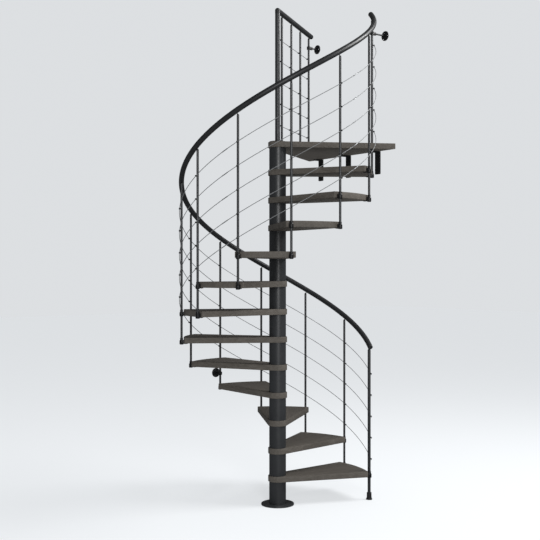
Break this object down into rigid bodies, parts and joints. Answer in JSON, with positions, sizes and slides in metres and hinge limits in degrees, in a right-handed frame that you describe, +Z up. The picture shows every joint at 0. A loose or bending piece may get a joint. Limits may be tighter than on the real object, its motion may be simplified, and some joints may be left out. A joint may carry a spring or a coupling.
{
  "type": "spiral staircase",
  "caption": "Spiral staircase: wedge treads and a landing round a steel column, with a helical handrail on slim balusters, cable infill and wall fixings.",
  "frame": {"origin": "centre of the base plate's underside, on the column axis at floor level", "axes": "+Z up along the column; +X towards the wall that carries the landing; +Y towards the side wall; the stair rises counter-clockwise seen from above"},
  "size_m": [1.5735, 1.6085, 3.939],
  "materials": {
    "stained_wood": "dark grey-brown stain, fine straight grain, satin lacquer",
    "anthracite_steel": "anthracite powder coat, satin",
    "black_rail": "black coated tube, satin",
    "black_fittings": "black moulded plastic, semi-matte",
    "black_brackets": "black painted steel, semi-gloss",
    "steel_cable": "bright stainless wire",
    "black_rubber": "matte black rubber"
  },
  "bodies": {
    "root": {"base_plate": "anthracite_steel", "centre_pole": "anthracite_steel", "column_sleeves": "anthracite_steel", "tread_01": "stained_wood", "tread_02": "stained_wood", "tread_03": "stained_wood", "tread_04": "stained_wood", "tread_05": "stained_wood", "tread_06": "stained_wood", "tread_07": "stained_wood", "tread_08": "stained_wood", "tread_09": "stained_wood", "tread_10": "stained_wood", "tread_11": "stained_wood", "tread_12": "stained_wood", "landing": "stained_wood", "baluster_00": "anthracite_steel", "baluster_01": "anthracite_steel", "baluster_02": "anthracite_steel", "baluster_03": "anthracite_steel", "baluster_04": "anthracite_steel", "baluster_05": "anthracite_steel", "baluster_06": "anthracite_steel", "baluster_07": "anthracite_steel", "baluster_08": "anthracite_steel", "baluster_09": "anthracite_steel", "baluster_10": "anthracite_steel", "baluster_11": "anthracite_steel", "baluster_12": "anthracite_steel", "start_foot": "black_rubber", "handrail": "black_rail", "newel": "anthracite_steel", "newel_disc": "black_fittings", "landing_rail": "black_rail", "landing_balusters": "anthracite_steel", "landing_feet": "black_fittings", "rail_caps": "black_fittings", "tread_clamps": "black_fittings", "cable_clips": "black_fittings", "stair_cables": "steel_cable", "landing_cables": "steel_cable", "wall_bracket_side": "black_brackets", "wall_bracket_stair": "black_brackets", "wall_bracket_landing": "black_brackets", "landing_brackets": "black_brackets"}
  },
  "joints": []
}
